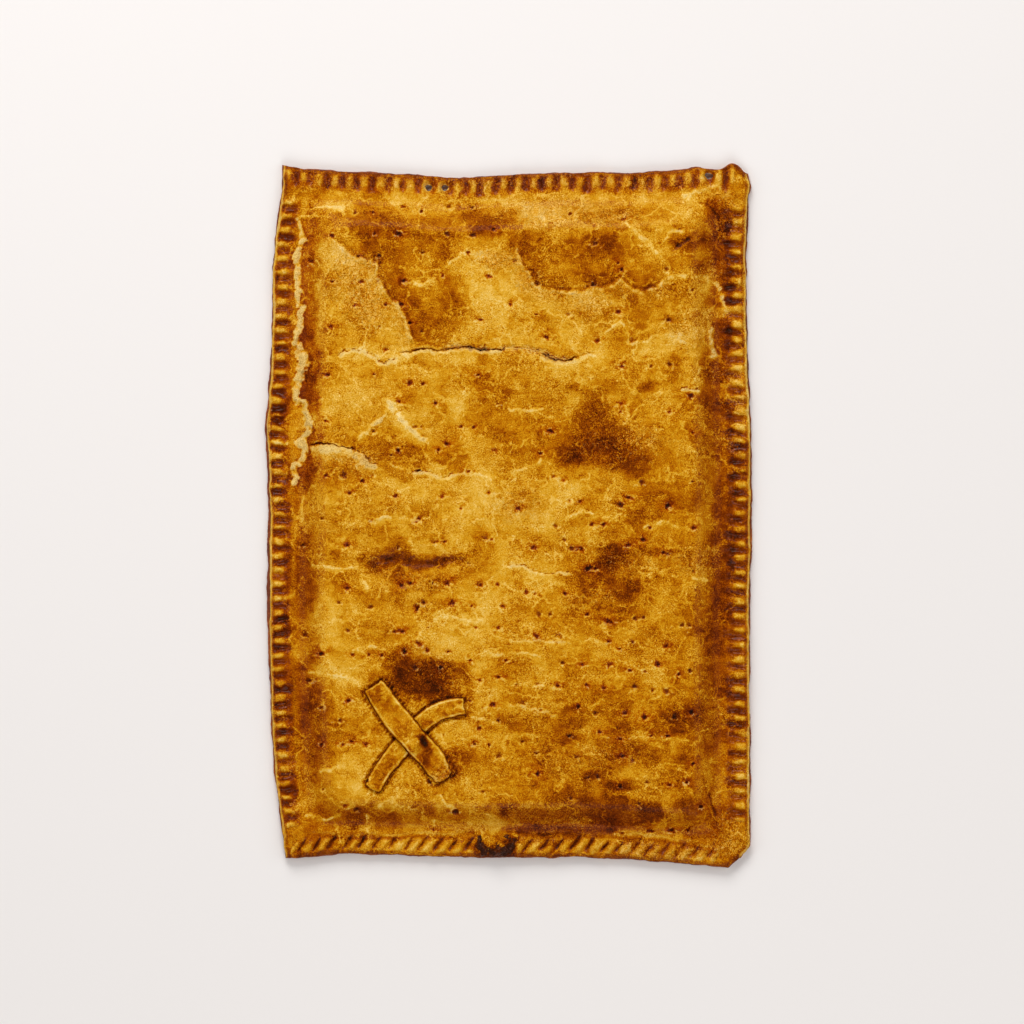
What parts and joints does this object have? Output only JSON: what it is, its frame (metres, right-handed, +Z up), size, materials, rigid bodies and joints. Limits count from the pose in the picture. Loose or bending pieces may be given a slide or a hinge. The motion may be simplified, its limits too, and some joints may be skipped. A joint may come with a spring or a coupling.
{
  "type": "ham and cheese empanada",
  "caption": "Whole rectangular baked pie with a crimped rim, pricked golden lid, cracks and a cross of dough strips.",
  "frame": {"origin": "middle of the bounding box on the table plane under the pie", "axes": "+Z up out of the lid, +X along the pie's short side, +Y along its long side, away from the end with the dough cross"},
  "size_m": [0.2504, 0.3616, 0.0186],
  "materials": {
    "top_crust": "baked dough with an egg wash, satin to glossy, golden with brown burns",
    "bottom_crust": "baked dough, matt, browned underneath",
    "strip_over": "baked dough with an egg wash, satin",
    "strip_under": "baked dough with an egg wash, satin",
    "leaked_filling": "burnt filling, near black, sticky gloss"
  },
  "bodies": {
    "root": {"top_crust": "top_crust", "bottom_crust": "bottom_crust", "strip_over": "strip_over", "strip_under": "strip_under", "leaked_filling": "leaked_filling"}
  },
  "joints": []
}
